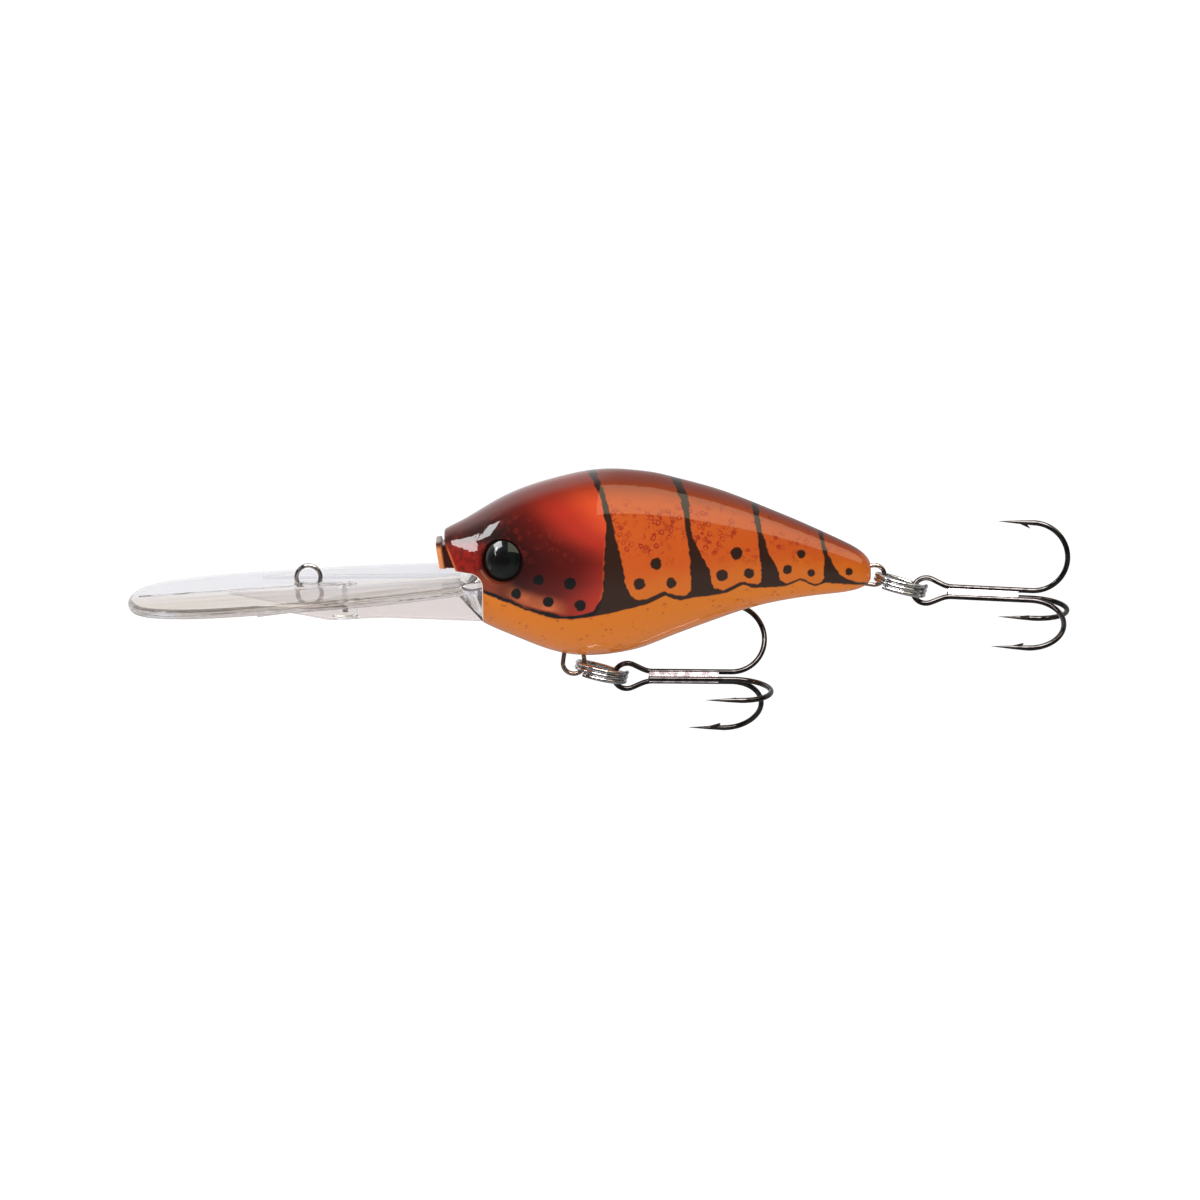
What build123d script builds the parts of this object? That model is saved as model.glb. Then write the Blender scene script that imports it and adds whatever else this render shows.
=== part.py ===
from build123d import *
import math
import os

# Deep-diving crankbait.  Millimetres, +Z up, +X towards the tail, +Y to the lure's right side.
# The origin is the centre of the line-tie ring, where the fishing line is tied.

# ---------------------------------------------------------------- driving dimensions
wall = 1.4                      # plastic thickness of the two body shells

# Body stations from nose to tail: x, height of the back, height of the belly, half width
body_stations = [
    (22.0, 7.9, -0.6, 3.8),
    (25.0, 9.5, -4.6, 6.1),
    (28.0, 11.3, -7.2, 7.8),
    (32.5, 13.8, -9.3, 9.4),
    (38.2, 15.9, -11.6, 10.3),
    (45.5, 17.6, -12.8, 10.5),
    (50.5, 17.8, -12.3, 10.3),
    (56.0, 17.2, -10.7, 9.6),
    (62.0, 15.7, -8.3, 8.5),
    (70.0, 13.1, -5.4, 6.8),
    (78.0, 9.8, -3.5, 5.1),
    (84.0, 7.1, -2.7, 3.9),
    (88.4, 4.9, -2.0, 3.0),
    (90.1, 3.5, -1.2, 2.3),
    (90.8, 2.2, -0.3, 1.4),
]
widest_fraction = 0.47          # where a section is widest, as a share of its height
belly_vee = 1.2                 # above 1 pulls the lower flanks in towards a keel
section_points = 20
outside_reach = 25.0            # further out than any part of the body, for tools that cut through
tail_round = 0.2
nose_round = 0.5

cavity_front_x = 30.5
cavity_rear_x = 81.0

# Mouth rim in front of the nose
mouth_top_z = 6.3
mouth_bottom_z = -1.5           # the notch for the lip then cuts it off level with the head
mouth_half_width = 3.4
mouth_front_x = 21.2
mouth_rim_length = 1.0
mouth_neck_inset = 0.6
mouth_neck_length = 4.0
mouth_corner = 1.3
mouth_rim_round = 0.25
mouth_lean = 0.16               # run per rise of the rim's face
head_front_x = 22.0             # where the head's front face starts to lean back
head_front_z = 6.6
head_front_lean = 0.42
head_front_round = 0.25

# Notch under the head that the lip is bonded into
notch_top_z = 2.1
notch_rear_x = 28.2
notch_corner_radius = 2.0

# Diving lip
lip_slope = 4.0                 # degrees, rising towards the body
lip_top_at_ring_z = -1.3
lip_thickness = 1.6
lip_outline = [(-29.3, 0.0), (-26.8, 8.4), (-20.0, 12.2), (-6.0, 13.2), (12.0, 12.2), (25.2, 9.2)]
lip_rear_x = 25.2
lip_edge_round = 0.75
brace_front = (-8.0, 11.0)      # where each brace under the blade starts, x and y
brace_rear = (26.0, 1.6)
brace_width = 1.0
brace_height = 0.5
keel_thickness = 1.7
keel_outline = [(-16.0, -3.2), (3.3, -6.9), (12.0, -6.5), (27.9, -7.1), (27.9, 0.0), (-16.0, -3.1)]
anchor_boss_x = 5.9
anchor_boss_radius = 2.2
anchor_boss_bottom_z = -6.6
anchor_boss_round = 0.4
crown_rib_front_x = -2.4
crown_rib_rear_x = 7.4
crown_rib_width = 2.2
crown_rib_top_z = -0.75
crown_rib_bottom_z = -2.2
crown_rib_round = 0.3
centre_ridge_front_x = -27.5
centre_ridge_width = 0.9
centre_ridge_height = 0.2
centre_ridge_depth = 0.2        # how far it reaches down into the blade
root_overlap = 0.6              # how far the root reaches into the rear of the blade
root_top_z = 1.9
root_half_width = 6.3
root_bottom_z = -7.1
root_bottom_half_width = 1.4
tang_overlap = 1.5              # how far the tang reaches into the root
tang_rear_x = 35.2
tang_half_width = 3.6
tang_top_z = 0.2
tang_bottom_z = -3.0
tang_peg_x = 32.0
tang_peg_radius = 1.1

# Wire forms
tie_wire = 0.7
tie_ring_radius = 1.95          # to the middle of the wire
tie_ring_sweep = 308.0          # degrees of ring before its end meets the wire again
tie_bend_radius = 0.9
tie_foot_depth = 1.0            # plastic left under the wire's end in the boss
belly_wire = 0.75
belly_loop_radius = 1.77
belly_loop_x = 42.85
belly_loop_z = -14.25
belly_leg = 7.0
belly_hinge = Vector(43.37, 0, -14.45)
tail_wire = 0.7
tail_loop_radius = 1.62
tail_loop_x = 91.45
tail_loop_z = 0.38
tail_leg = 7.5
tail_hinge = Vector(91.72, 0, 0.13)
hanger_foot_radius = 1.0
hanger_foot_length = 1.0
loop_leg_lean = 8.0             # degrees that a loop's two legs close in towards each other

# Split rings
ring_wire = 0.7
ring_pitch = 0.72
ring_radius = 4.1               # to the middle of the wire
ring_turns = 2.36
ring_middle_turns = 1.37        # the turn that lies at the coil's middle height
ring_roll = -5.0                # degrees that a ring leans about its own long line at rest
ring_start_angle = -133.0       # where the lower free end lies
belly_ring_slope = 14.3         # degrees down to the rear at rest
tail_ring_slope = 16.0

# Treble hooks
hook_wire = 0.86
hook_wire_at_barb = 0.6
hook_shank_radius = 0.95        # each of the three wires, out from the shank's axis
hook_eye_radius = 2.15          # to the middle of the wire
eye_neck_angle = 25.0           # degrees that the eye's legs close in by
eye_neck_radius = 4.0
belly_eye_offset = 0.2          # how far the hook eye's middle lies behind the ring's wire
tail_eye_offset = 0.2
single_front_x = 3.3
hook_bend_centre_x = 17.0
hook_bend_radius = 5.6
hook_barb_start_x = 14.7
hook_point_x = 11.3
hook_barb_tip_x = 16.4
hook_barb_height = 0.65
hook_barb_thickness = 0.4
hook_barb_root_x = 14.4
hook_barb_base = 0.7            # how far the barb's tip hangs back past its root on the wire
hook_barb_sink = 0.1
hook_tip_radius = 0.03
hook_end_round = 0.2
braze_start_x = 3.6
braze_end_x = 14.9
braze_face_distance = 0.74      # its three flat faces, out from the shank's axis
braze_corner_radius = 1.2
belly_hook_slope = 2.0
belly_hook_yaw = 6.4
belly_hook_roll = 146.0
tail_hook_slope = 1.3
tail_hook_yaw = -6.4
tail_hook_roll = 0.0

# Eyes
eye_centre_x = 31.2
eye_centre_z = 4.7
eye_turn = 20.0                 # degrees that the eye faces forwards
eye_lift = 9.0                  # degrees that the eye faces upwards
eye_socket_radius = 3.45
eye_socket_depth = 1.15
eye_bevel_depth = 0.65          # a 45 degree bevel round the socket
eye_disc_thickness = 0.45
eye_disc_clearance = 0.05
eye_dome_radius = 3.2
eye_dome_height = 1.4
eye_pad_radius = 4.8

# Inside the shells
nose_block_rear_x = 37.1
nose_block_half_width = 5.0
nose_block_top_z = 2.7
ballast_radius = 2.6
ballast_front_x = 31.6
ballast_rear_x = 39.4
ballast_z = -5.9
rattle_ball_radius = 1.5
rattle_ball_count = 3
rattle_tube_radius = 1.75
rattle_tube_wall = 1.0
rattle_tube_z = 7.0
rattle_front_x = 52.0
rattle_travel = 4.0
ball_gap = 0.02
rattle_length = rattle_ball_count * (2 * rattle_ball_radius + ball_gap) + rattle_travel + ball_gap
bulkhead_thickness = 1.2
hanger_block_half_length = 2.8
hanger_block_half_width = 2.4
hanger_block_top_z = -4.45
pin_radius = 0.8
pin_length = 1.5
pin_clearance = 0.08
pin_boss_radius = 1.8
pin_places = [(36.5, 10.0), (46.5, 12.5), (69.0, 7.0), (77.5, 3.5)]   # x, z


lip_plane = Plane(
    (0, 0, lip_top_at_ring_z),
    x_dir=(math.cos(math.radians(lip_slope)), 0, math.sin(math.radians(lip_slope))),
    z_dir=(-math.sin(math.radians(lip_slope)), 0, math.cos(math.radians(lip_slope))),
)


# ---------------------------------------------------------------- small helpers
def block(x0, x1, half_y, z0, z1):
    """A box centred on the middle plane."""
    centre = ((x0 + x1) / 2, 0, (z0 + z1) / 2)
    return Pos(*centre) * Box(x1 - x0, 2 * half_y, z1 - z0)


def rod_across(x, z, radius, y0, y1):
    """A cylinder that lies along Y."""
    return Plane((x, y0, z), x_dir=(1, 0, 0), z_dir=(0, 1, 0)) * extrude(Circle(radius), y1 - y0)


def rod_along(x0, x1, z, radius):
    """A cylinder that lies along X on the middle plane."""
    return Plane((x0, 0, z), x_dir=(0, 1, 0), z_dir=(1, 0, 0)) * extrude(Circle(radius), x1 - x0)


def swept_wire(path, diameter):
    """Round wire along a path."""
    section = Plane(origin=path @ 0, z_dir=path % 0) * Circle(diameter / 2)
    return sweep(section, path=path)


def save(name, shape):
    export_step(shape, "parts/" + name + ".step")


# ---------------------------------------------------------------- body
def body_section(x, top, bottom, half_width):
    """One egg-shaped section: an ellipse above its widest line, drawn in to a vee below it."""
    widest = bottom + widest_fraction * (top - bottom)
    points = []
    for i in range(section_points):
        angle = 2 * math.pi * i / section_points
        side = math.sin(angle)
        up = math.cos(angle)
        if up >= 0:
            z = widest + (top - widest) * up
            y = half_width * side
        else:
            z = widest + (widest - bottom) * up
            y = half_width * math.copysign(abs(side) ** belly_vee, side)
        points.append((x, y, z))
    return make_face(Spline(*points, periodic=True))


def body_loft(inset, front_x, rear_x):
    """The body's form, moved in by inset, between two stations."""
    sections = []
    for x, top, bottom, half_width in body_stations:
        if front_x <= x <= rear_x:
            sections.append(body_section(x, top - inset, bottom + inset, half_width - inset))
    return loft(sections)


def notch_tool():
    """What is cut from under the head to take the lip."""
    front = Vector(0, 0, notch_top_z)
    foot = Vector(notch_rear_x, 0, -outside_reach)
    outline = FilletPolyline(front, (foot.X, 0, front.Z), foot, radius=notch_corner_radius)
    back = Polyline(foot, (front.X, 0, foot.Z), front)
    return extrude(make_face([outline, back]), outside_reach, dir=(0, 1, 0), both=True)


def mouth_rim():
    """The raised rim of the mouth on a thinner neck."""
    height = mouth_top_z - mouth_bottom_z
    centre = (mouth_front_x, 0, (mouth_top_z + mouth_bottom_z) / 2)
    plane = Plane(centre, x_dir=(0, 1, 0), z_dir=(1, 0, mouth_lean))
    rim = plane * extrude(RectangleRounded(2 * mouth_half_width, height, mouth_corner), mouth_rim_length)
    neck = plane * extrude(
        RectangleRounded(
            2 * (mouth_half_width - mouth_neck_inset),
            height - 2 * mouth_neck_inset,
            mouth_corner - mouth_neck_inset / 2,
        ),
        mouth_neck_length,
    )
    return fillet(rim.edges(), mouth_rim_round) + neck


def head_front_tool():
    """What is cut off so that the head's front face leans back under the mouth's rim."""
    plane = Plane((head_front_x, 0, head_front_z), x_dir=(0, 1, 0), z_dir=(-1, 0, -head_front_lean))
    return plane * extrude(Rectangle(2 * outside_reach, 2 * outside_reach), outside_reach)


def body_outside():
    """The whole body as one solid, with its notch for the lip."""
    form = body_loft(0, body_stations[0][0], body_stations[-1][0])
    tail_edges = form.faces().sort_by(Axis.X)[-1].edges()
    form = fillet(tail_edges, tail_round)
    nose_edges = form.faces().sort_by(Axis.X)[0].edges()
    form = fillet(nose_edges, nose_round)
    form -= head_front_tool()
    lean = Axis((head_front_x, 0, head_front_z), (1, 0, head_front_lean))
    front_face = form.faces().filter_by(lean).sort_by(Axis.X)[0]
    form = fillet(front_face.edges(), head_front_round)
    return form + mouth_rim() - notch_tool()


def eye_plane(form, side):
    """The plane that touches the flank at an eye, facing out; side is -1 left, 1 right."""
    turn = math.radians(eye_turn)
    lift = math.radians(eye_lift)
    normal = Vector(
        -math.sin(turn) * math.cos(lift),
        side * math.cos(turn) * math.cos(lift),
        math.sin(lift),
    )
    outside = Axis((eye_centre_x, side * outside_reach, eye_centre_z), (0, -side, 0))
    hits = [hit[0] for hit in form.find_intersection_points(outside)]
    surface = max(hits, key=lambda point: side * point.Y)
    return Plane(surface, x_dir=Vector(0, 0, 1).cross(normal), z_dir=normal)


def disc_on(plane, radius, bottom, top):
    """A round disc on a plane, between two heights above it."""
    return plane * Pos(0, 0, bottom) * extrude(Circle(radius), top - bottom)


def eye_bevel(plane):
    """The flared cone cut round the mouth of an eye socket."""
    height = 2 * eye_bevel_depth
    flare = Cone(eye_socket_radius, eye_socket_radius + height, height)
    return plane * flare


def pin_rods(radius, y0, y1):
    """One rod across the body at each locating pin."""
    rods = [rod_across(x, z, radius, y0, y1) for x, z in pin_places]
    return rods[0] + rods[1:]


def inner_structure(eyes):
    """What stays solid inside the shells: blocks, bulkheads, rattle tube, bosses and eye pads."""
    inside = block(
        cavity_front_x, nose_block_rear_x, nose_block_half_width, -outside_reach, nose_block_top_z
    )
    inside += block(
        cavity_front_x,
        ballast_rear_x + wall,
        ballast_radius + wall,
        -outside_reach,
        ballast_z + ballast_radius + wall / 2,
    )
    inside += block(
        belly_loop_x - hanger_block_half_length,
        belly_loop_x + hanger_block_half_length,
        hanger_block_half_width,
        -outside_reach,
        hanger_block_top_z,
    )
    rattle_rear_x = rattle_front_x + rattle_length
    inside += rod_along(
        rattle_front_x, rattle_rear_x, rattle_tube_z, rattle_tube_radius + rattle_tube_wall
    )
    for x in (rattle_front_x - bulkhead_thickness, rattle_rear_x):
        inside += block(x, x + bulkhead_thickness, outside_reach, -outside_reach, outside_reach)
    inside += pin_rods(pin_boss_radius, -outside_reach, outside_reach)
    return inside + [disc_on(plane, eye_pad_radius, -eye_socket_depth - wall, wall) for plane in eyes]


def body_shells(form, eyes, wires):
    """The two moulded halves, left then right."""
    cavity = body_loft(wall, body_stations[2][0], body_stations[-3][0])
    cavity &= block(cavity_front_x, cavity_rear_x, outside_reach, -outside_reach, outside_reach)
    cavity -= inner_structure(eyes)
    body = form - cavity
    body -= block(notch_rear_x - tang_overlap, tang_rear_x, tang_half_width, tang_bottom_z, tang_top_z)
    body += rod_across(
        tang_peg_x, (tang_top_z + tang_bottom_z) / 2, tang_peg_radius, -tang_half_width, tang_half_width
    )
    body -= rod_along(ballast_front_x, ballast_rear_x, ballast_z, ballast_radius)
    body -= rod_along(
        rattle_front_x, rattle_front_x + rattle_length, rattle_tube_z, rattle_tube_radius
    )
    for plane in eyes:
        body -= disc_on(plane, eye_socket_radius, -eye_socket_depth, outside_reach)
        body -= eye_bevel(plane)
    for wire in wires:
        body -= wire
    half = Pos(2 * outside_reach, outside_reach, 0)
    half *= Box(4 * outside_reach, 2 * outside_reach, 2 * outside_reach)
    right = body & half
    left = body - half
    left += pin_rods(pin_radius, -pin_length, pin_length)
    right -= pin_rods(pin_radius + pin_clearance, 0, pin_length + pin_clearance)
    return left, right


# ---------------------------------------------------------------- lip
def lip_plate():
    """The flat blade of the lip, in its own sloping plane."""
    left_side = [(x, -y) for x, y in reversed(lip_outline[1:])]
    rim = Spline(*left_side, *lip_outline)
    plate = extrude(make_face([rim, Line(rim @ 1, rim @ 0)]), -lip_thickness)
    rim_edges = plate.edges().filter_by(GeomType.BSPLINE)
    return lip_plane * fillet(rim_edges, lip_edge_round)


def lip_centre_ridge():
    """The low crease along the middle of the blade, up to the line tie."""
    start = (lip_plane * Pos(centre_ridge_front_x, 0, 0)).position
    plane = Plane(start, x_dir=(0, 1, 0), z_dir=lip_plane.x_dir)
    half = centre_ridge_width / 2
    section = plane * make_face(
        Polyline(
            (-half, -centre_ridge_depth), (half, -centre_ridge_depth), (0, centre_ridge_height), close=True
        )
    )
    return extrude(section, crown_rib_front_x - centre_ridge_front_x + 1)


def lip_braces():
    """Two low ribs under the blade that spread from the root towards its sides."""
    bottom = lip_plane * Pos(0, 0, -lip_thickness - brace_height)
    braces = []
    for side in (-1, 1):
        start = Vector(brace_front[0], side * brace_front[1])
        run = Vector(brace_rear[0], side * brace_rear[1]) - start
        place = Pos(*(start + run / 2)) * Rot(0, 0, math.degrees(math.atan2(run.Y, run.X)))
        outline = place * RectangleRounded(run.length, brace_width, brace_width / 2 - 0.05)
        braces.append(bottom * extrude(outline, brace_height + lip_thickness / 2))
    return braces


def lip_crown_rib():
    """The raised rib on top of the lip that the line tie comes out of."""
    half_width = crown_rib_width / 2
    rib = block(crown_rib_front_x, crown_rib_rear_x, half_width, crown_rib_bottom_z, crown_rib_top_z)
    rib = fillet(rib.edges().filter_by(Axis.Z), 0.9 * half_width)
    return fillet(rib.faces().sort_by(Axis.Z)[-1].edges(), crown_rib_round)


def lip_keel():
    """The web under the lip, and the round boss that holds the line tie's leg."""
    outline = Polyline(*[(x, 0, z) for x, z in keel_outline], close=True)
    web = extrude(make_face(outline), keel_thickness / 2, dir=(0, 1, 0), both=True)
    boss_height = crown_rib_bottom_z - anchor_boss_bottom_z
    boss = Pos(anchor_boss_x, 0, anchor_boss_bottom_z) * extrude(Circle(anchor_boss_radius), boss_height)
    return web + fillet(boss.faces().sort_by(Axis.Z)[0].edges(), anchor_boss_round)


def lip_root():
    """The flare from the rear of the blade to the throat of the body."""
    front_x = lip_rear_x - root_overlap
    front_top = lip_top_at_ring_z + front_x * math.tan(math.radians(lip_slope))
    front_bottom = front_top - lip_thickness
    front_half = lip_outline[-1][1]
    front = Polyline(
        (front_x, front_half, front_top),
        (front_x, front_half, front_bottom),
        (front_x, -front_half, front_bottom),
        (front_x, -front_half, front_top),
        close=True,
    )
    rear = Polyline(
        (notch_rear_x, root_half_width, root_top_z),
        (notch_rear_x, root_bottom_half_width, root_bottom_z),
        (notch_rear_x, -root_bottom_half_width, root_bottom_z),
        (notch_rear_x, -root_half_width, root_top_z),
        close=True,
    )
    return loft([make_face(front), make_face(rear)], ruled=True)


def diving_lip(form, tie):
    """The clear lip with its tang, cut to fit the body and the line tie."""
    lip = lip_plate() + lip_centre_ridge() + lip_braces() + lip_crown_rib() + lip_keel() + lip_root()
    lip -= form
    lip += block(notch_rear_x - tang_overlap, tang_rear_x, tang_half_width, tang_bottom_z, tang_top_z)
    lip -= rod_across(
        tang_peg_x, (tang_top_z + tang_bottom_z) / 2, tang_peg_radius, -tang_half_width, tang_half_width
    )
    return lip - tie


# ---------------------------------------------------------------- wire forms
def line_tie():
    """A ring whose wire runs back along the lip and turns down into the keel boss."""
    foot = (anchor_boss_x, anchor_boss_bottom_z + tie_foot_depth)
    rise = Line(foot, (anchor_boss_x, -tie_ring_radius - tie_bend_radius))
    bend = JernArc(rise @ 1, rise % 1, tie_bend_radius, 90)
    run = Line(bend @ 1, (0, -tie_ring_radius))
    ring = JernArc(run @ 1, run % 1, tie_ring_radius, -tie_ring_sweep)
    return swept_wire(Plane.XZ * Wire([rise, bend, run, ring]), tie_wire)


def loop_hanger(radius, leg, wire):
    """A loop with two legs that close in and end in outward feet, opening upwards."""
    lean = math.radians(loop_leg_lean)
    shoulder = Vector(radius * math.cos(lean), radius * math.sin(lean))
    right_leg = Line(shoulder, shoulder + leg * Vector(-math.sin(lean), math.cos(lean)))
    right_bend = JernArc(right_leg @ 1, right_leg % 1, hanger_foot_radius, -(90 + loop_leg_lean))
    right_foot = Line(right_bend @ 1, right_bend @ 1 + Vector(hanger_foot_length, 0))
    right = [right_leg, right_bend, right_foot]
    left = [mirror(edge, about=Plane.YZ) for edge in right]
    loop = JernArc(
        (-shoulder.X, shoulder.Y),
        (-math.sin(lean), -math.cos(lean)),
        radius,
        180 + 2 * loop_leg_lean,
    )
    path = Wire([edge for curve in (right + left + [loop]) for edge in curve.edges()])
    return swept_wire(Plane.XZ * path, wire)


def split_ring():
    """A coil of more than two turns about +Z, its middle at the origin."""
    height = ring_turns * ring_pitch
    helix = Helix(ring_pitch, height, ring_radius)
    section = Plane(origin=helix @ 0, z_dir=helix % 0) * Circle(ring_wire / 2)
    coil = sweep(section, path=helix, is_frenet=True)
    return Rot(0, 0, ring_start_angle) * Pos(0, 0, -ring_middle_turns * ring_pitch) * coil


def ring_place(hinge, slope):
    """Where a split ring lies: its front end at the hinge, sloping down to the rear."""
    return Location(hinge) * Rot(0, slope, 0) * Rot(ring_roll, 0, 0) * Pos(ring_radius, 0, 0)


# ---------------------------------------------------------------- treble hooks
def radial_plane(angle):
    """The plane through the shank's axis in which one arm lies; its y axis points outwards."""
    turn = math.radians(angle)
    outwards = Vector(0, math.sin(turn), math.cos(turn))
    return Plane((0, 0, 0), x_dir=(1, 0, 0), z_dir=Vector(1, 0, 0).cross(outwards))


def taper(plane, x0, x1, height, radius0, radius1):
    """A cone along the plane's x axis."""
    start = (plane * Pos(x0, height, 0)).position
    direction = plane.x_dir * (1 if x1 > x0 else -1)
    length = abs(x1 - x0)
    cone = Cone(radius0, radius1, length, align=(Align.CENTER, Align.CENTER, Align.MIN))
    return Plane(start, z_dir=direction) * cone


def hook_arm(angle):
    """From the end of the shank round the bend to the barbed point."""
    plane = radial_plane(angle)
    spear = hook_shank_radius + 2 * hook_bend_radius
    bend = JernArc((hook_bend_centre_x, hook_shank_radius), (1, 0), hook_bend_radius, 180)
    arm = swept_wire(plane * Wire(bend.edges()), hook_wire)
    arm += taper(plane, hook_bend_centre_x, hook_barb_start_x, spear, hook_wire / 2, hook_wire_at_barb / 2)
    arm += taper(plane, hook_barb_start_x, hook_point_x, spear, hook_wire_at_barb / 2, hook_tip_radius)
    inside_wire = spear - hook_barb_sink
    barb_outline = Polyline(
        (hook_barb_root_x, inside_wire),
        (hook_barb_tip_x, spear - hook_wire_at_barb / 2 - hook_barb_height),
        (hook_barb_tip_x - hook_barb_base, inside_wire),
        close=True,
    )
    return arm + extrude(plane * make_face(barb_outline), hook_barb_thickness / 2, both=True)


def hook_double(roll):
    """One wire that makes the eye, two shanks and two arms."""
    upper = roll
    lower = roll + 240
    middle = math.radians(roll + 300)
    outwards = Vector(0, math.sin(middle), math.cos(middle))
    along_w = outwards.cross(Vector(1, 0, 0))
    normal = Vector(1, 0, 0).cross(along_w)
    plane = Plane(outwards * (hook_shank_radius / 2), x_dir=(1, 0, 0), z_dir=normal)
    half_gap = hook_shank_radius * math.sin(math.radians(60))
    eye_arc = JernArc((-hook_eye_radius, 0), (0, 1), hook_eye_radius, -(90 + eye_neck_angle))
    angle = math.radians(eye_neck_angle)
    curve_drop = eye_neck_radius * (1 - math.cos(angle))
    straight_drop = (eye_arc @ 1).Y - curve_drop - half_gap
    neck = Line(eye_arc @ 1, eye_arc @ 1 + Vector(straight_drop / math.tan(angle), -straight_drop))
    neck_bend = JernArc(neck @ 1, neck % 1, eye_neck_radius, eye_neck_angle)
    shank = Line(neck_bend @ 1, (hook_bend_centre_x, (neck_bend @ 1).Y))
    one_side = [eye_arc, neck, neck_bend, shank]
    other_side = [mirror(curve, about=Plane.XZ) for curve in one_side]
    path = Wire([edge for curve in one_side + other_side for edge in curve.edges()])
    return swept_wire(plane * path, hook_wire) + hook_arm(upper) + hook_arm(lower)


def hook_single(roll):
    """The third wire: a shank and one arm."""
    plane = radial_plane(roll + 120)
    shank_path = Line((single_front_x, hook_shank_radius), (hook_bend_centre_x, hook_shank_radius))
    shank = swept_wire(plane * Wire(shank_path.edges()), hook_wire)
    shank = fillet(shank.faces().sort_by(Axis.X)[0].edges(), hook_end_round)
    return shank + hook_arm(roll + 120)


def hook_braze(roll, double, single):
    """The solder that fills between the three shanks, with three flat faces."""
    corner = 2 * braze_face_distance
    corners = []
    for angle in (0, 120, 240):
        turn = math.radians(roll + angle)
        corners.append((braze_start_x, corner * math.sin(turn), corner * math.cos(turn)))
    triangle = make_face(Polyline(*corners, close=True))
    prism = extrude(triangle, braze_end_x - braze_start_x, dir=(1, 0, 0))
    core = rod_along(braze_start_x, braze_end_x, 0, braze_corner_radius)
    return (prism & core) - double - single


def treble_place(ring_location, yaw, slope, roll, eye_offset):
    """Puts the hook's eye on the ring's wire, yaw degrees round the ring, with its shank level."""
    middle = math.radians(roll + 300)
    half_radius = hook_shank_radius / 2
    eye = Vector(-eye_offset, math.sin(middle) * half_radius, math.cos(middle) * half_radius)
    wire_point = (ring_location * Rot(0, 0, yaw) * Pos(ring_radius, 0, 0)).position
    return Location(wire_point) * Rot(0, 0, yaw) * Rot(0, slope, 0) * Location(-eye)


# ---------------------------------------------------------------- build every node
os.makedirs("parts", exist_ok=True)

form = body_outside()
eyes = [eye_plane(form, side) for side in (-1, 1)]
tie = line_tie()
belly_hanger = Pos(belly_loop_x, 0, belly_loop_z) * loop_hanger(belly_loop_radius, belly_leg, belly_wire)
tail_hanger = (
    Pos(tail_loop_x, 0, tail_loop_z) * Rot(0, -90, 0) * loop_hanger(tail_loop_radius, tail_leg, tail_wire)
)
left_shell, right_shell = body_shells(form, eyes, [belly_hanger, tail_hanger])
save("body_shell_left", left_shell)
save("body_shell_right", right_shell)
save("diving_lip", diving_lip(form, tie))
save("line_tie", tie)
save("belly_hanger", belly_hanger)
save("tail_hanger", tail_hanger)
save("ballast_weight", rod_along(ballast_front_x, ballast_rear_x, ballast_z, ballast_radius))

balls = [
    Pos(rattle_front_x + rattle_ball_radius * (2 * i + 1) + ball_gap * (i + 1), 0, rattle_tube_z)
    * Sphere(rattle_ball_radius)
    for i in range(rattle_ball_count)
]
save("rattle_balls", Compound(children=balls))

for side, plane in zip(("left", "right"), eyes):
    disc_top = -eye_socket_depth + eye_disc_thickness
    disc_radius = eye_socket_radius - eye_disc_clearance
    save("eye_disc_" + side, disc_on(plane, disc_radius, -eye_socket_depth, disc_top))
    dome_sphere = (eye_dome_radius ** 2 + eye_dome_height ** 2) / (2 * eye_dome_height)
    dome = disc_on(plane, eye_dome_radius, disc_top, disc_top + 2 * eye_dome_height)
    ball_centre = plane * Pos(0, 0, disc_top + eye_dome_height - dome_sphere)
    dome &= ball_centre * Rot(90, 0, 0) * Sphere(dome_sphere)
    save("eye_dome_" + side, dome)

hook_places = {
    "belly": (
        belly_hinge, belly_ring_slope, belly_hook_yaw, belly_hook_slope, belly_hook_roll, belly_eye_offset
    ),
    "tail": (tail_hinge, tail_ring_slope, tail_hook_yaw, tail_hook_slope, tail_hook_roll, tail_eye_offset),
}
for name, (hinge, ring_slope, yaw, hook_slope, roll, eye_offset) in hook_places.items():
    ring_location = ring_place(hinge, ring_slope)
    save(name + "_split_ring", ring_location * split_ring())
    place = treble_place(ring_location, yaw, hook_slope, roll, eye_offset)
    double = hook_double(roll)
    single = hook_single(roll)
    save(name + "_treble_double", place * double)
    save(name + "_treble_single", place * single)
    save(name + "_treble_braze", place * hook_braze(roll, double, single))
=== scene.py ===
import math

import bpy
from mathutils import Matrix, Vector


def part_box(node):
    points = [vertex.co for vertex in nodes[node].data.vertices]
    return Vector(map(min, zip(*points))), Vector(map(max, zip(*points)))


# Looks for the crankbait.  The frame is in metres; paint markings below are in millimetres from the
# line-tie ring, u towards the tail and v up a side, measured along stencils that lean in at the top.
mm_per_metre = 1000.0
stencil_lean = math.radians(13)
paint_shift = (3.7, 0.0, 3.7)   # moves the flecks to another part of their noise

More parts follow.
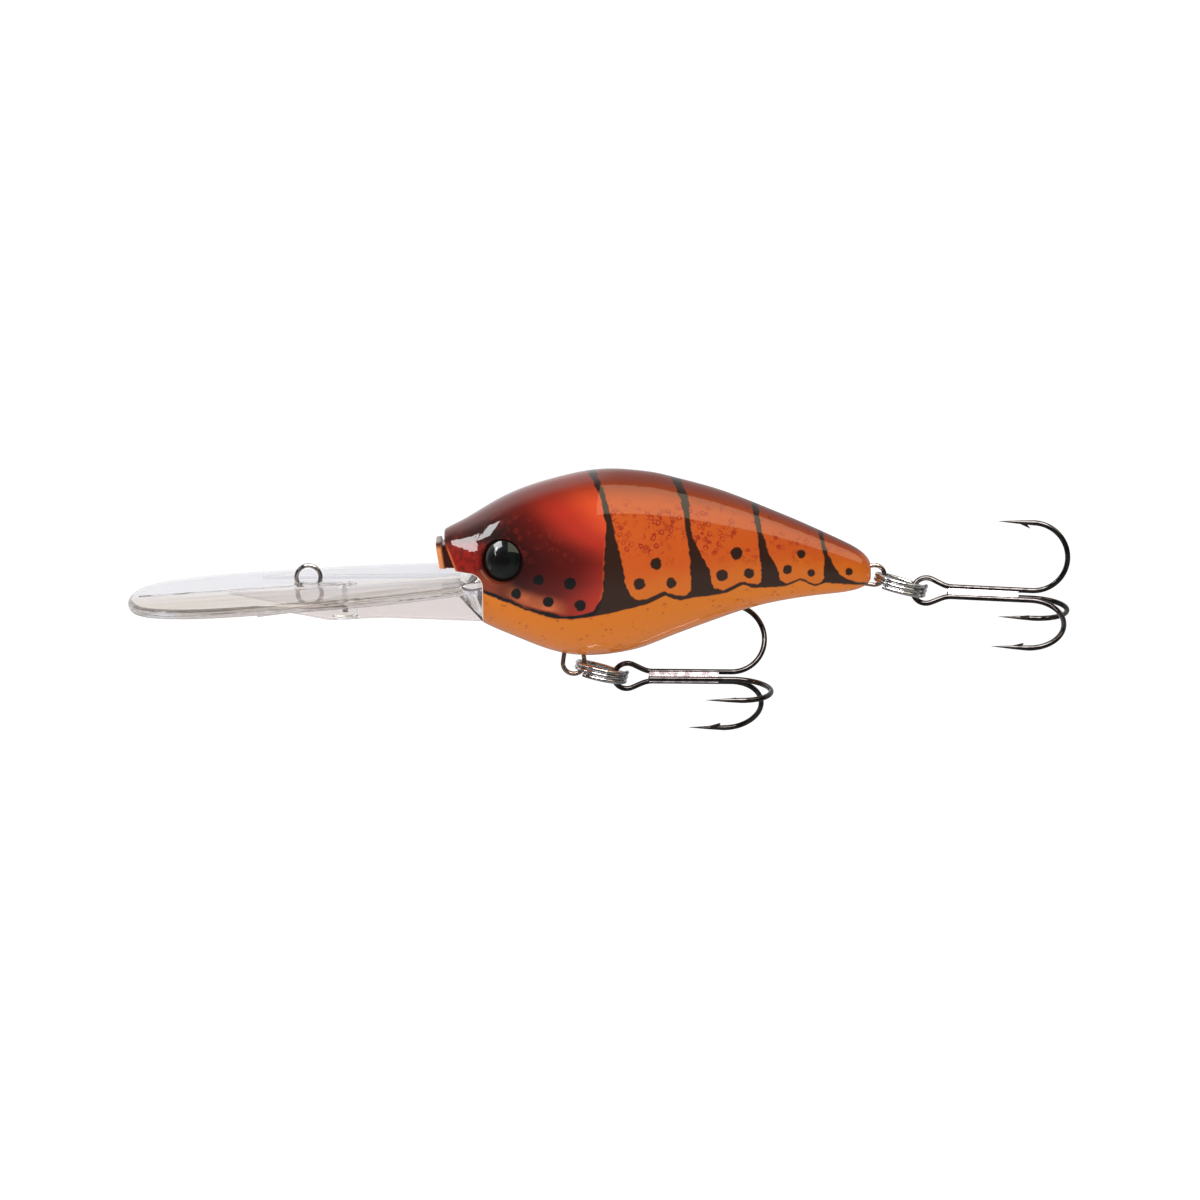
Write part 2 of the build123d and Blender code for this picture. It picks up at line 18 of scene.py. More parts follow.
# ---------------------------------------------------------------- markings
# The black line along the flank: (u, v) of its lower and upper edges from throat to tail
line_low = [
    (28.0, -2.4), (30.9, -3.55), (34.0, -4.8), (36.4, -5.65), (39.0, -6.5), (42.1, -6.8), (45.8, -6.4),
    (48.9, -5.8), (52.1, -5.0), (54.8, -4.3), (57.5, -3.0), (59.9, -3.8), (62.3, -3.2), (64.6, -3.0),
    (67.5, -2.5), (70.1, -1.2), (71.8, -1.7), (76.9, -1.5), (79.3, -0.5), (81.7, -1.5), (83.4, -0.9),
    (86.1, -1.1), (92.0, -1.4),
]
line_high = [
    (28.0, -1.85), (30.9, -2.9), (34.7, -4.7), (37.1, -5.4), (39.7, -5.9), (41.4, -6.3), (43.9, -6.1),
    (46.0, -5.5), (47.2, -3.6), (51.0, -1.4), (52.0, -3.0), (53.2, -3.7), (54.7, -3.5), (57.3, -2.3),
    (59.6, -3.0), (61.0, -2.9), (62.0, -1.8), (64.8, -0.6), (65.5, -1.8), (67.0, -2.1), (69.8, -0.7),
    (72.4, -1.2), (73.4, -0.4), (76.1, -0.4), (77.0, -1.1), (79.3, -0.2), (81.7, -1.1), (82.6, -0.9),
    (83.4, 0.2), (86.3, 0.0), (88.6, -0.8), (92.0, -0.9),
]
# The black bands over the back: (v, u) of their front and rear edges
bands = [
    (
        [
            (-7.0, 45.8), (-5.0, 46.9), (-2.2, 47.6), (3.3, 47.8), (8.0, 48.2), (10.4, 47.6), (13.6, 46.9),
            (18.0, 44.6),
        ],
        [
            (-7.0, 52.6), (-3.0, 52.0), (-1.6, 51.3), (0.9, 50.9), (6.0, 49.7), (9.8, 48.8), (13.6, 47.8),
            (18.0, 46.0),
        ],
    ),
    (
        [
            (-7.0, 61.9), (1.5, 61.6), (6.5, 61.0), (10.4, 60.4), (12.3, 60.0), (14.4, 59.3), (18.0, 57.4),
        ],
        [
            (-7.0, 65.9), (-1.1, 65.1), (1.2, 64.6), (3.9, 63.2), (6.0, 62.1), (8.0, 61.6), (11.5, 61.4),
            (13.5, 61.1), (18.0, 59.0),
        ],
    ),
    (
        [(-7.0, 73.2), (1.3, 73.0), (4.4, 72.6), (6.7, 72.4), (9.4, 71.8), (13.0, 71.3), (18.0, 70.0)],
        [
            (-7.0, 76.6), (-0.4, 76.1), (1.7, 75.5), (4.1, 74.1), (7.3, 73.1), (9.0, 72.8), (13.0, 72.4),
            (18.0, 71.2),
        ],
    ),
    (
        [(-7.0, 82.8), (1.2, 83.2), (3.1, 83.1), (4.6, 82.8), (9.0, 82.0), (18.0, 80.5)],
        [
            (-7.0, 88.0), (-0.6, 87.4), (0.5, 85.6), (1.8, 84.8), (3.1, 84.1), (5.0, 83.4), (9.0, 82.7),
            (18.0, 81.2),
        ],
    ),
]
# Black dots: (u, v, radius)
dots = [
    (37.3, -0.5, 0.85), (33.7, -2.7, 0.85), (38.8, -4.0, 0.85), (42.3, -1.1, 0.95), (43.9, -4.6, 0.9),
    (56.1, 2.1, 0.95), (53.4, -1.1, 0.92), (58.5, -0.9, 0.85),
    (69.0, 3.8, 0.97), (66.7, 0.3, 0.92), (71.0, 0.6, 0.84),
    (79.4, 3.7, 0.7), (77.2, 1.2, 0.74), (81.1, 0.7, 0.62),
    (87.2, 0.9, 0.62),
]
edge_softness = 0.12            # half the width of a sprayed edge
notch_corner = (26.2, 0.1)      # x and z of the middle of the round in the lip's notch
notch_radius = 2.0
head_face_x = 24.77             # the head's front face is where x + lean * z has this value
head_face_lean = 0.42
rim_face_x = 21.58              # the same for the front of the mouth's rim
rim_face_lean = 0.16

# ---------------------------------------------------------------- where the paint changes
# Each pair is where a paint begins to show and where it covers, in millimetres
line_start_x = (28.2, 28.6)
over_line = (0.0, 0.2)          # height above the line's lower edge
under_line = (0.6, -0.4)
warm_over_line = (6.0, 1.5)
warm_strength = 0.6
rear_x = (66.0, 84.0)
head_end = (0.4, -0.4)          # distance behind the front edge of the first band
snout_x = (30.5, 26.0)
snout_v = (8.5, 5.0)
snout_top_v = (4.2, 6.2)
throat_x = (34.0, 29.0)
throat_v = (1.6, -0.6)
# The orange edges below are partly worn paint and partly painted highlight
face_edge = (0.5, 0.1)          # distance behind the head's front face
face_edge_z = (6.6, 4.5)
# Painted shade in the groove, in front of the head's front face
groove_edge = (-0.1, -0.3)
rim_edge = (1.1, 0.5)           # distance behind the rim's front face
rim_edge_z = (6.1, 5.2)
cheek_top = (3.2, 1.0)          # height above the line's upper edge
cheek_bottom = (0.0, 0.5)
cheek_front_x = (31.0, 35.0)
cheek_rear_x = (43.0, 38.0)
cheek_strength = 1.4
fleck_bottom_v = (1.0, 4.5)
fleck_top_v = (14.0, 9.0)
fleck_rear_x = (90.0, 76.0)
fleck_strength = 0.9
fleck_loss_on_head = 0.65
speck_strength = 0.7
back_slope = (0.55, 0.92)       # upward part of the surface's normal
back_z = (2.0, 5.0)
back_strength = 0.85
notch_edge = (0.12, 0.04)       # distance outside the notch's round

# The head's glow from dark to bright, a number that grows rearwards and away from the eye's height
glow_rise = [(-8.0, 42.0), (-4.0, 26.0), (-1.0, 8.0), (2.0, 0.0), (4.0, 4.0), (10.0, 50.0), (16.0, 92.0)]
glow_start_x = 36.0
glow_low_slope = 5.2            # per millimetre of x, low on the head
glow_more_slope = 2.8           # how much more of it high on the head
glow_slope_v = (2.0, 8.0)
glow_red = (-20.0, 50.0)
glow_bright = (35.0, 95.0)
glow_rear = (90.0, 150.0)

# ---------------------------------------------------------------- grain of the paint
# Each grain is how many lumps fit in a millimetre; each pair is where its noise begins and covers
wobble_grain = 0.9              # uneven edges of the markings
wobble_size = 0.7
wobble_upward = 0.6             # how much of it goes into v
snout_grain = 1.2
snout_mottle = (0.42, 0.62)
snout_mottle_strength = 0.55
cheek_grain = 0.35
warp_grain = 1.3
warp_size = (0.7, 0.7, 0.7)
ring_grain = 0.85
ring_radius = 0.3               # of a cell
ring_width = (0.15, 0.03)
patch_grain = 0.3
patch_edge = (0.42, 0.56)
blotch_grain = 1.1
blotch_edge = (0.52, 0.66)
blotch_strength = 0.6
speck_grain = 0.9
speck_edge = (0.34, 0.14)
speck_patch_grain = 0.5
speck_patch_edge = (0.46, 0.56)
fine_detail = 3.0               # octaves of noise

# ---------------------------------------------------------------- colours, sRGB 0..255
belly_orange = (196, 106, 20)
flank_orange = (188, 80, 24)
rear_orange = (180, 74, 22)
back_brown = (96, 24, 12)
head_dark = (30, 7, 6)
head_red = (84, 13, 8)
head_bright = (168, 42, 26)
head_rear = (206, 72, 34)
snout_red = (138, 26, 18)
snout_dark = (62, 14, 9)
# Light orange on the mouth's rim and the head's front edge: partly worn paint, partly a painted highlight
# on those edges
rim_orange_wear_and_highlight = (216, 136, 84)
edge_orange_wear_and_highlight = (196, 96, 44)
# Pale wall of the lip's notch: partly bare plastic, partly a painted highlight along the notch's outline
notch_pale_and_highlight = (226, 220, 216)
cheek_orange = (196, 100, 56)
fleck_red = (146, 38, 20)
fleck_brown = (150, 74, 20)
marking_black = (12, 9, 9)
marking_brown = (44, 24, 15)
# Dark brown in the groove behind the mouth's rim and on the rim's side and top: painted shade
groove_shade_brown = (60, 14, 8)
throat_brown = (122, 50, 26)
lip_clear = (230, 229, 235)
# Warmer, darker tint on the lip's near half: painted shade
lip_near_side_shade = (208, 195, 184)
# Darker tint on the lip's keel: painted shade
lip_keel_shade = (224, 215, 214)
hook_nickel = (82, 77, 76)
ring_nickel = (214, 210, 210)
tie_steel = (160, 155, 153)
hanger_steel = (190, 164, 148)
solder = (246, 236, 244)
# Rings of colour about the middle of the eye: (inner radius in mm, colour)
foil_rings = [(0.0, (6, 5, 5)), (2.9, (70, 12, 8)), (3.15, (8, 5, 5))]
lens_rings = [(0.0, (3, 3, 3)), (1.7, (6, 12, 10)), (2.5, (3, 3, 3))]
eye_ring_softness = 0.08
eye_turn = math.radians(20)     # of the eye's axis towards the nose
eye_lift = math.radians(9)

# ---------------------------------------------------------------- other grain
lip_streak_stretch = (0.015, 0.4, 0.4)
lip_streak_edge = (0.3, 0.6)
# Where the painted shade on the lip's near half begins and covers
lip_near_side_y = (1.5, -3.0)
# Where the painted shade on the keel shows
keel_half_width = (1.2, 0.9)
keel_top_z = (-2.9, -3.2)
metal_grain = 0.8
metal_patch_edge = (0.42, 0.62)
metal_patch_shade = 0.7         # of the metal's colour
solder_grain = 6.0
solder_relief = 0.00003         # metres

# ---------------------------------------------------------------- camera and light
target = Vector((0.0471, 0.0, -0.00377))
camera_elevation = math.radians(13)
camera_distance = 1.078
camera_lens = 200.0
head_middle = Vector((0.03, 0.0, 0.01))
# Two slanted windows that show on the head: direction, width and length
windows = [((-0.715, -0.17, 0.67), 0.055, 0.16), ((-0.815, -0.27, 0.51), 0.03, 0.24)]
window_roll = math.radians(45)
window_distance = 0.5
window_power = 34.0             # watts per square metre
floor_depth = 0.32
floor_shine = 0.95              # how white the floor looks by itself
floor_grey = (0.3, 0.3, 0.3, 1.0)
white = (1.0, 1.0, 1.0, 1.0)
warm_white = (1.0, 1.0, 0.74)
# How bright the room looks in reflections, against 1.0 for white
room_front = 0.1
room_below = 0.3
room_behind = 0.5
room_corner = 1.0               # behind and to the left
room_through_top = 0.85         # overhead, as seen through clear plastic
# Where each part of the room begins and where it is full, as parts of a unit direction
below_direction_z = (0.05, -0.5)
corner_direction_x = (0.1, -0.15)
behind_direction_y = (0.0, 0.5)
behind_direction_z = (-0.5, -0.2)
top_direction_z = (0.3, 0.9)


def srgb(colour):
    """Linear RGBA from 0..255 sRGB."""
    linear = []
    for value in colour:
        value /= 255
        linear.append(value / 12.92 if value <= 0.04045 else ((value + 0.055) / 1.055) ** 2.4)
    return (*linear, 1.0)


class Nodes:
    """Short names for the nodes of one tree."""

    def __init__(self, tree):
        self.tree = tree

    def node(self, kind, inputs=(), **settings):
        node = self.tree.nodes.new("ShaderNode" + kind)
        for key, value in settings.items():
            setattr(node, key, value)
        for key, value in dict(inputs).items():
            if isinstance(value, bpy.types.NodeSocket):
                self.tree.links.new(value, node.inputs[key])
            else:
                node.inputs[key].default_value = value
        return node

    def math(self, operation, a, b=0.0):
        return self.node("Math", {0: a, 1: b}, operation=operation).outputs[0]

    def vector(self, operation, a, b=(0.0, 0.0, 0.0)):
        node = self.node("VectorMath", {0: a, 1: b}, operation=operation)
        return node.outputs["Value" if operation in ("LENGTH", "DOT_PRODUCT", "DISTANCE") else "Vector"]

    def mix(self, amount, a, b):
        """Colour a, changing to b as amount goes from 0 to 1."""
        node = self.node("Mix", {"Factor": amount}, data_type="RGBA")
        for key, value in ((6, a), (7, b)):
            if isinstance(value, bpy.types.NodeSocket):
                self.tree.links.new(value, node.inputs[key])
            else:
                node.inputs[key].default_value = srgb(value)
        return node.outputs[2]

    def step(self, value, low, high):
        """0 below low, 1 above high, smooth between; low may be above high."""
        inputs = {"Value": value, "From Min": low, "From Max": high}
        return self.node("MapRange", inputs, interpolation_type="SMOOTHSTEP").outputs[0]

    def curve(self, value, points):
        """A line through points (value, result)."""
        xs = [point[0] for point in points]
        ys = [point[1] for point in points]
        low, high = min(ys), max(ys)
        into = self.node("MapRange", {"Value": value, "From Min": xs[0], "From Max": xs[-1]})
        curve = self.node("FloatCurve", {"Value": into.outputs[0]})
        line = curve.mapping.curves[0]
        for x, y in points[1:-1]:
            line.points.new((x - xs[0]) / (xs[-1] - xs[0]), (y - low) / (high - low))
        line.points[0].location = (0.0, (ys[0] - low) / (high - low))
        line.points[-1].location = (1.0, (ys[-1] - low) / (high - low))
        for point in line.points:
            point.handle_type = "VECTOR"
        curve.mapping.update()
        out = self.node("MapRange", {"Value": curve.outputs[0], "To Min": low, "To Max": high})
        return out.outputs[0]

    def noise(self, where, scale, detail=2.0):
        """Noise around 0.5; scale is in lumps per unit of where."""
        return self.node("TexNoise", {"Vector": where, "Scale": scale, "Detail": detail}).outputs["Fac"]

    def cells(self, where, scale):
        """Distance from the nearest of many scattered points, in cells."""
        return self.node("TexVoronoi", {"Vector": where, "Scale": scale}).outputs["Distance"]

    def millimetres(self):
        """Object coordinates in millimetres, and their parts."""
        coordinates = self.node("TexCoord")
        scaled = self.vector("MULTIPLY", coordinates.outputs["Object"], (mm_per_metre,) * 3)
        parts = self.node("SeparateXYZ", {0: scaled}).outputs
        return scaled, parts[0], parts[1], parts[2]

    def between(self, value, low, high):
        """1 between the two edges, 0 outside, soft at the edges."""
        above = self.step(self.math("SUBTRACT", value, low), -edge_softness, edge_softness)
        below = self.step(self.math("SUBTRACT", high, value), -edge_softness, edge_softness)
        return self.math("MULTIPLY", above, below)

    def either(self, *masks):
        result = masks[0]
        for mask in masks[1:]:
            result = self.math("MAXIMUM", result, mask)
        return result

    def both(self, *masks):
        result = masks[0]
        for mask in masks[1:]:
            result = self.math("MULTIPLY", result, mask)
        return result


class Shader(Nodes):
    """One material with a Principled surface; surface holds values for its sockets."""

    def __init__(self, name, **surface):
        self.material = bpy.data.materials.new(name)
        self.material.use_nodes = True
        super().__init__(self.material.node_tree)
        self.surface = self.tree.nodes["Principled BSDF"]
        for socket, value in surface.items():
            self.surface.inputs[socket.replace("_", " ")].default_value = value

    def colour(self, socket):
        self.tree.links.new(socket, self.surface.inputs["Base Color"])


# ---------------------------------------------------------------- body paint
def marking_mask(paint, x, u, v, v_rough, low, high):
    """1 on the black line, bands and dots."""
    black = paint.both(paint.between(v_rough, low, high), paint.step(x, *line_start_x))
    over = paint.step(paint.math("SUBTRACT", v, low), *over_line)
    for front, rear in bands:
        inside = paint.between(u, paint.curve(v, front), paint.curve(v, rear))
        black = paint.either(black, paint.both(inside, over))
    flat = paint.node("CombineXYZ", {"X": u, "Y": v_rough}).outputs[0]
    for dot_u, dot_v, radius in dots:
        distance = paint.vector("DISTANCE", flat, (dot_u, dot_v, 0.0))
        black = paint.either(black, paint.step(distance, radius + edge_softness, radius - edge_softness))
    return black


def head_colour(paint, where, x, z, v, high):
    """Dark red behind the eye, brighter towards the first band and the back; red snout; orange edges that
    are partly worn paint and partly painted highlight; painted shade in the groove behind the rim.
    """
    slope = paint.math("MULTIPLY", paint.step(v, *glow_slope_v), glow_more_slope)
    slope = paint.math("ADD", glow_low_slope, slope)
    run = paint.math("MULTIPLY", paint.math("SUBTRACT", x, glow_start_x), slope)
    glow = paint.math("ADD", paint.curve(v, glow_rise), run)
    head = paint.mix(paint.step(glow, *glow_red), head_dark, head_red)
    head = paint.mix(paint.step(glow, *glow_bright), head, head_bright)
    head = paint.mix(paint.step(glow, *glow_rear), head, head_rear)

    mottle = paint.step(paint.noise(where, snout_grain, fine_detail), *snout_mottle)
    mottle = paint.math("MULTIPLY", mottle, snout_mottle_strength)
    darker = paint.either(paint.step(v, *snout_top_v), mottle)
    snout = paint.both(paint.step(x, *snout_x), paint.step(v, *snout_v))
    head = paint.mix(snout, head, paint.mix(darker, snout_red, snout_dark))
    throat = paint.both(paint.step(x, *throat_x), paint.step(v, *throat_v))
    head = paint.mix(throat, head, throat_brown)

    from_face = paint.math("MULTIPLY", z, head_face_lean)
    from_face = paint.math("ADD", paint.math("SUBTRACT", x, head_face_x), from_face)
    # Orange on the head's front edge: partly worn paint, partly painted highlight
    edge = paint.both(paint.step(from_face, *face_edge), paint.step(z, *face_edge_z))
    head = paint.mix(edge, head, edge_orange_wear_and_highlight)
    # Painted shade in the groove between the head and the mouth's rim, and on the rim's side and top
    head = paint.mix(paint.step(from_face, *groove_edge), head, groove_shade_brown)
    from_rim = paint.math("MULTIPLY", z, rim_face_lean)
    from_rim = paint.math("ADD", paint.math("SUBTRACT", x, rim_face_x), from_rim)
    # Orange on the rim's front: partly worn paint, partly painted highlight
    rim = paint.both(paint.step(from_rim, *rim_edge), paint.step(z, *rim_edge_z))
    head = paint.mix(rim, head, rim_orange_wear_and_highlight)

    over_high = paint.math("SUBTRACT", v, high)
    cheek = paint.both(
        paint.step(over_high, *cheek_top),
        paint.step(over_high, *cheek_bottom),
        paint.step(x, *cheek_front_x),
        paint.step(x, *cheek_rear_x),
        paint.noise(where, cheek_grain),
    )
    return paint.mix(paint.math("MULTIPLY", cheek, cheek_strength), head, cheek_orange)


def fleck_mask(paint, where, shifted, x, v, front):
    """Ring-shaped flecks and small blotches on the flanks, weaker on the head."""
    warp = paint.node("TexNoise", {"Vector": where, "Scale": warp_grain}).outputs["Color"]
    warped = paint.vector("ADD", shifted, paint.vector("MULTIPLY", warp, warp_size))
    from_ring = paint.math("SUBTRACT", paint.cells(warped, ring_grain), ring_radius)
    rings = paint.step(paint.math("ABSOLUTE", from_ring), *ring_width)
    blotches = paint.step(paint.noise(shifted, blotch_grain, fine_detail), *blotch_edge)
    spots = paint.either(rings, paint.math("MULTIPLY", blotches, blotch_strength))
    patches = paint.step(paint.noise(shifted, patch_grain), *patch_edge)
    height = paint.both(paint.step(v, *fleck_bottom_v), paint.step(v, *fleck_top_v))
    flecks = paint.both(spots, patches, height, paint.step(x, *fleck_rear_x))
    loss = paint.math("MULTIPLY", front, fleck_loss_on_head)
    return paint.math("MULTIPLY", flecks, paint.math("SUBTRACT", fleck_strength, loss))


def notch_mask(paint, x, z):
    """1 on the wall of the round notch that holds the lip's root."""
    past_corner = paint.node("CombineXYZ", {
        "X": paint.math("MAXIMUM", paint.math("SUBTRACT", x, notch_corner[0]), 0.0),
        "Z": paint.math("MAXIMUM", paint.math("SUBTRACT", z, notch_corner[1]), 0.0),
    }).outputs[0]
    outside = paint.vector("LENGTH", past_corner)
    return paint.step(outside, notch_radius + notch_edge[0], notch_radius + notch_edge[1])


def body_paint():
    """Sprayed markings under a clear coat, the same on both sides."""
    paint = Shader(
        "body_paint", Roughness=0.4, Specular_IOR_Level=0.1, Coat_Weight=1.0, Coat_Roughness=0.03
    )
    where, x, y, z = paint.millimetres()
    shifted = paint.vector("ADD", where, paint_shift)
    v = paint.math(
        "SUBTRACT",
        paint.math("MULTIPLY", z, math.cos(stencil_lean)),
        paint.math("MULTIPLY", paint.math("ABSOLUTE", y), math.sin(stencil_lean)),
    )
    wobble = paint.math("SUBTRACT", paint.noise(where, wobble_grain), 0.5)
    wobble = paint.math("MULTIPLY", wobble, wobble_size)
    u = paint.math("ADD", x, wobble)
    v_rough = paint.math("ADD", v, paint.math("MULTIPLY", wobble, wobble_upward))
    low = paint.curve(u, line_low)
    high = paint.curve(u, line_high)
    over_low = paint.math("SUBTRACT", v, low)

    # Orange ground, deeper towards the tail
    ground = paint.mix(paint.step(x, *rear_x), flank_orange, rear_orange)
    warm = paint.math("MULTIPLY", paint.step(over_low, *warm_over_line), warm_strength)
    ground = paint.mix(warm, ground, belly_orange)

    # Head in front of the first band, then the flecks, the back, the belly and the black markings
    front = paint.step(paint.math("SUBTRACT", x, paint.curve(v, bands[0][0])), *head_end)
    ground = paint.mix(front, ground, head_colour(paint, where, x, z, v, high))
    ground = paint.mix(fleck_mask(paint, where, shifted, x, v, front), ground, fleck_red)
    normal = paint.node("SeparateXYZ", {0: paint.node("TexCoord").outputs["Normal"]}).outputs[2]
    back = paint.both(paint.step(normal, *back_slope), paint.step(z, *back_z))
    ground = paint.mix(paint.math("MULTIPLY", back, back_strength), ground, back_brown)
    specks = paint.both(
        paint.step(paint.cells(shifted, speck_grain), *speck_edge),
        paint.step(paint.noise(where, speck_patch_grain), *speck_patch_edge),
    )
    belly = paint.mix(paint.math("MULTIPLY", specks, speck_strength), belly_orange, fleck_brown)
    ground = paint.mix(paint.step(over_low, *under_line), ground, belly)
    black = marking_mask(paint, x, u, v, v_rough, low, high)
    painted = paint.mix(black, ground, paint.mix(front, marking_brown, marking_black))
    # The notch's wall is pale: partly bare plastic, partly a painted highlight along its outline
    paint.colour(paint.mix(notch_mask(paint, x, z), painted, notch_pale_and_highlight))
    return paint.material


# ---------------------------------------------------------------- other materials
def clear_lip():
    """Clear plastic with faint flow lines along the blade, and painted shade on its near, left half: a
    warmer, darker tint along the flow lines.
    """
    lip = Shader("clear_lip", Roughness=0.02, IOR=1.38, Transmission_Weight=0.9)
    where, _, y, z = lip.millimetres()
    along = lip.vector("MULTIPLY", where, lip_streak_stretch)
    streaks = lip.step(lip.noise(along, 1.0, 1.0), *lip_streak_edge)
    # Painted shade on the near half, along the flow lines
    painted_near_side_shade = lip.math("MULTIPLY", lip.step(y, *lip_near_side_y), streaks)
    # Painted shade on the keel
    keel = lip.both(lip.step(lip.math("ABSOLUTE", y), *keel_half_width), lip.step(z, *keel_top_z))
    lip.colour(lip.mix(keel, lip.mix(painted_near_side_shade, lip_clear, lip_near_side_shade), lip_keel_shade))
    return lip.material


def metal(name, colour, roughness, bump=0.0, metallic=1.0):
    """A metal with slightly darker patches."""
    shader = Shader(name, Metallic=metallic, Roughness=roughness)
    where = shader.millimetres()[0]
    patches = shader.step(shader.noise(where, metal_grain, fine_detail), *metal_patch_edge)
    darker = tuple(metal_patch_shade * value for value in colour)
    shader.colour(shader.mix(patches, colour, darker))
    if bump:
        height = shader.noise(where, solder_grain, fine_detail)
        relief = shader.node("Bump", {"Strength": bump, "Distance": solder_relief, "Height": height})
        shader.tree.links.new(relief.outputs[0], shader.surface.inputs["Normal"])
    return shader.material


def eye_material(name, rings, centre, axis, coat):
    """Rings of colour about the eye's axis, from the middle out."""
    eye = Shader(name, Roughness=0.4, Specular_IOR_Level=0.05, Coat_Weight=coat, Coat_Roughness=0.02)
    _, x, y, z = eye.millimetres()
    left_y = eye.math("MULTIPLY", eye.math("ABSOLUTE", y), -1.0)
    left = eye.node("CombineXYZ", {"X": x, "Y": left_y, "Z": z})
    offset = eye.vector("SUBTRACT", left.outputs[0], tuple(centre))
    radius = eye.vector("LENGTH", eye.vector("CROSS_PRODUCT", offset, tuple(axis)))
    shade = rings[0][1]
    for edge, colour in rings[1:]:
        outside = eye.step(radius, edge - eye_ring_softness, edge + eye_ring_softness)
        shade = eye.mix(outside, shade, colour)
    eye.colour(shade)
    return eye.material


# ---------------------------------------------------------------- build the looks
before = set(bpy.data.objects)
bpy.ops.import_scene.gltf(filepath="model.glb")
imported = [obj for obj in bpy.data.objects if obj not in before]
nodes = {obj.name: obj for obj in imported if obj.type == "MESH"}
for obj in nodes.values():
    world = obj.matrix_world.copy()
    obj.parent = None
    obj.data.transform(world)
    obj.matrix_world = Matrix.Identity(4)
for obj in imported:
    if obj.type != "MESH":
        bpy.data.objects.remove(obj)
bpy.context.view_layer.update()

eye_low, eye_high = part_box("eye_disc_left")
eye_centre = (eye_low + eye_high) / 2 * mm_per_metre
eye_axis = Vector((
    -math.sin(eye_turn) * math.cos(eye_lift),
    -math.cos(eye_turn) * math.cos(eye_lift),
    math.sin(eye_lift),
))
black_nickel = metal("black_nickel", hook_nickel, 0.12)
materials = {
    "body_shell": body_paint(),
    "diving_lip": clear_lip(),
    "line_tie": metal("tie_wire", tie_steel, 0.12),
    "hanger": metal("hanger_wire", hanger_steel, 0.2),
    "split_ring": metal("bright_nickel", ring_nickel, 0.12),
    "double": black_nickel,
    "single": black_nickel,
    "braze": metal("hook_braze", solder, 0.5, bump=0.5, metallic=0.15),
    "eye_disc": eye_material("eye_foil", foil_rings, eye_centre, eye_axis, 0.6),
    "eye_dome": eye_material("eye_lens", lens_rings, eye_centre, eye_axis, 1.0),
}
for name, node in nodes.items():
    for part, material in materials.items():
        if part in name:
            node.data.materials.clear()
            node.data.materials.append(material)

# ---------------------------------------------------------------- stage, light and camera
scene = bpy.context.scene
scene.view_settings.view_transform = "Standard"
world = bpy.data.worlds.new("studio")
scene.world = world
world.use_nodes = True
room = Nodes(world.node_tree)
facing = room.node("SeparateXYZ", {0: room.node("TexCoord").outputs["Generated"]}).outputs
below = room.math("MULTIPLY", room.step(facing[2], *below_direction_z), room_below - room_front)
corner = room.math("MULTIPLY", room.step(facing[0], *corner_direction_x), room_corner - room_behind)
wall = room.math("ADD", corner, room_behind - room_front)
behind = room.both(
    room.step(facing[1], *behind_direction_y), room.step(facing[2], *behind_direction_z), wall
)
reflected = room.math("ADD", room_front, room.math("MAXIMUM", below, behind))
rays = room.node("LightPath").outputs
shade = room.math("MULTIPLY", room.step(facing[2], *top_direction_z), 1.0 - room_through_top)
through = room.math("MULTIPLY", rays["Is Transmission Ray"], room.math("SUBTRACT", 1.0, shade))
seen = room.either(reflected, rays["Is Camera Ray"], through)
background = world.node_tree.nodes["Background"]
room.tree.links.new(seen, background.inputs["Strength"])
background.inputs["Color"].default_value = white

bpy.ops.mesh.primitive_plane_add(size=12.0, location=(0, 0, -floor_depth))
floor = bpy.context.object
floor.name = "floor"
floor.visible_glossy = False
floor_look = Shader("floor", Roughness=0.9, Specular_IOR_Level=0.0, Emission_Strength=floor_shine)
floor_look.surface.inputs["Base Color"].default_value = floor_grey
floor_look.surface.inputs["Emission Color"].default_value = white
floor.data.materials.append(floor_look.material)


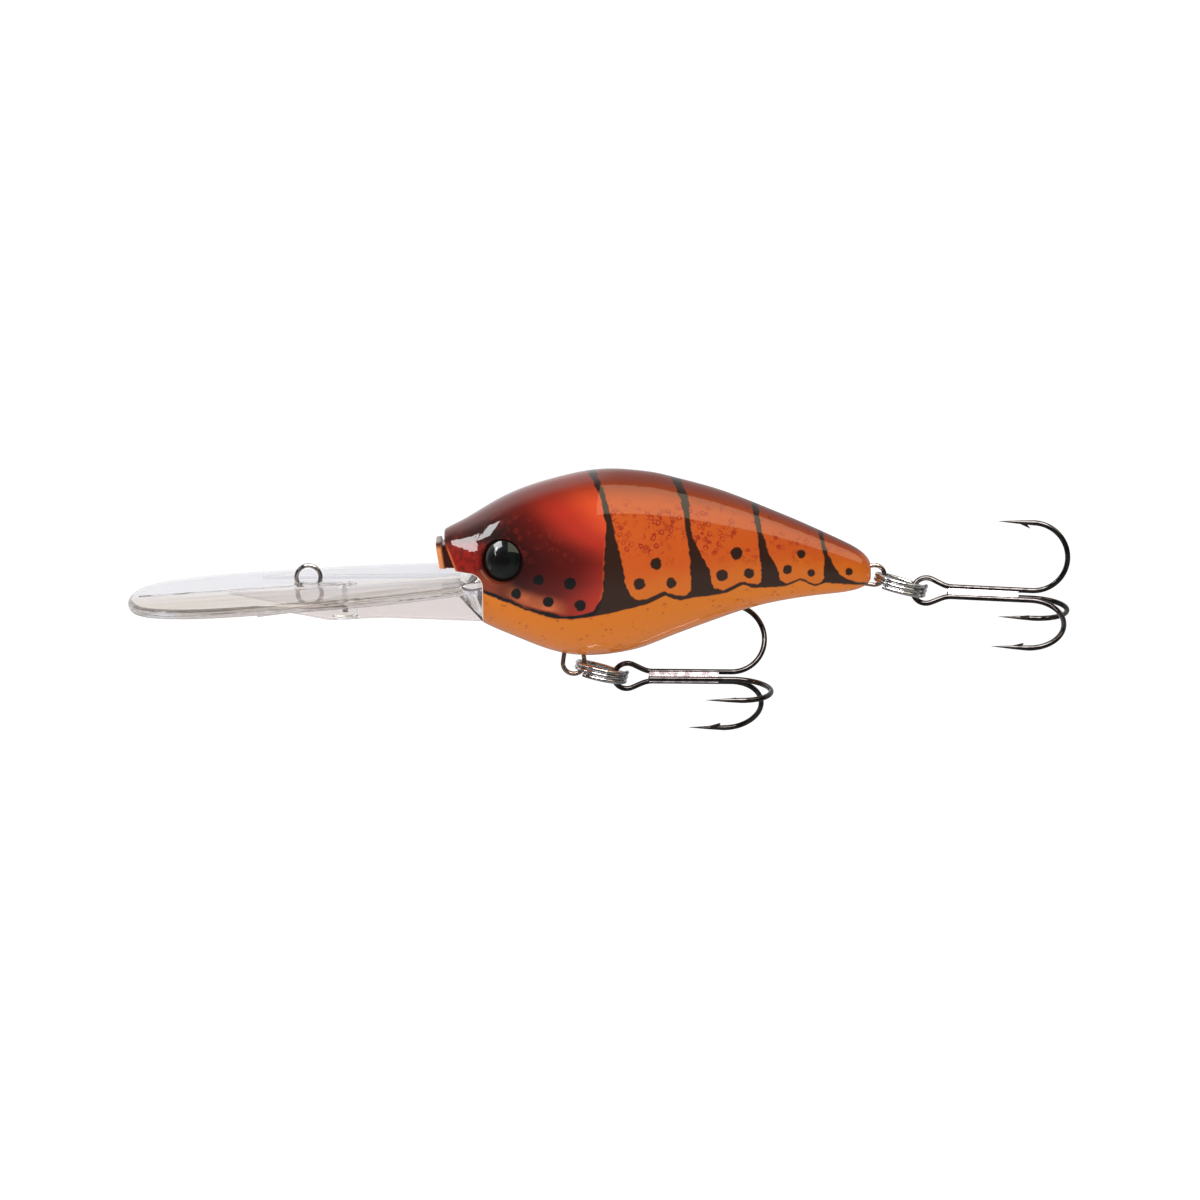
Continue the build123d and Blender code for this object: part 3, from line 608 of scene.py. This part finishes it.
def area_light(name, place, aim, width, height, power, colour=(1.0, 1.0, 1.0)):
    """A rectangular softbox at place that faces aim; sizes in metres, power in watts."""
    data = bpy.data.lights.new(name, "AREA")
    data.shape = "RECTANGLE"
    data.size = width
    data.size_y = height
    data.energy = power
    data.color = colour
    light = bpy.data.objects.new(name, data)
    scene.collection.objects.link(light)
    light.location = place
    light.rotation_euler = (Vector(aim) - Vector(place)).to_track_quat("-Z", "Y").to_euler()
    return light


def light_only(light, parts):
    """Lets a light fall only on the nodes whose names hold one of parts."""
    receivers = bpy.data.collections.new(light.name + "_receivers")
    light.light_linking.receiver_collection = receivers
    for name, node in nodes.items():
        if any(part in name for part in parts):
            receivers.objects.link(node)


area_light("overhead_softbox", (0.5, -0.27, 0.6), (0.5, -0.27, 0.0), 1.0, 0.62, 3.3, warm_white)
front_fill = area_light("front_fill", (0.0, -0.9, 0.35), target, 0.9, 0.6, 5.0)
front_fill.visible_glossy = False
side_fill = area_light("side_fill", (-0.45, -0.19, 0.32), head_middle, 0.2, 0.2, 1.3)
side_fill.visible_glossy = False
for number, (direction, width, length) in enumerate(windows):
    place = head_middle + Vector(direction) * window_distance
    power = window_power * width * length
    window = area_light(f"window_{number}", place, head_middle, width, length, power)
    window.rotation_euler.rotate_axis("Z", window_roll)
eye_window = area_light("eye_window", (-0.27, 0.017, 0.41), head_middle, 0.3, 0.24, 2.4)
light_only(eye_window, ("eye_dome",))
metal_softbox = area_light("metal_softbox", (0.06, -0.3, 0.5), (0.06, 0.0, -0.02), 0.6, 0.45, 10.0)
light_only(metal_softbox, ("split_ring", "treble", "hanger", "line_tie"))

camera_data = bpy.data.cameras.new("camera")
camera_data.lens = camera_lens
camera_data.sensor_width = 36.0
camera = bpy.data.objects.new("camera", camera_data)
scene.collection.objects.link(camera)
back = Vector((0.0, -math.cos(camera_elevation), math.sin(camera_elevation)))
camera.location = target + back * camera_distance
camera.rotation_euler = (-back).to_track_quat("-Z", "Y").to_euler()
scene.camera = camera
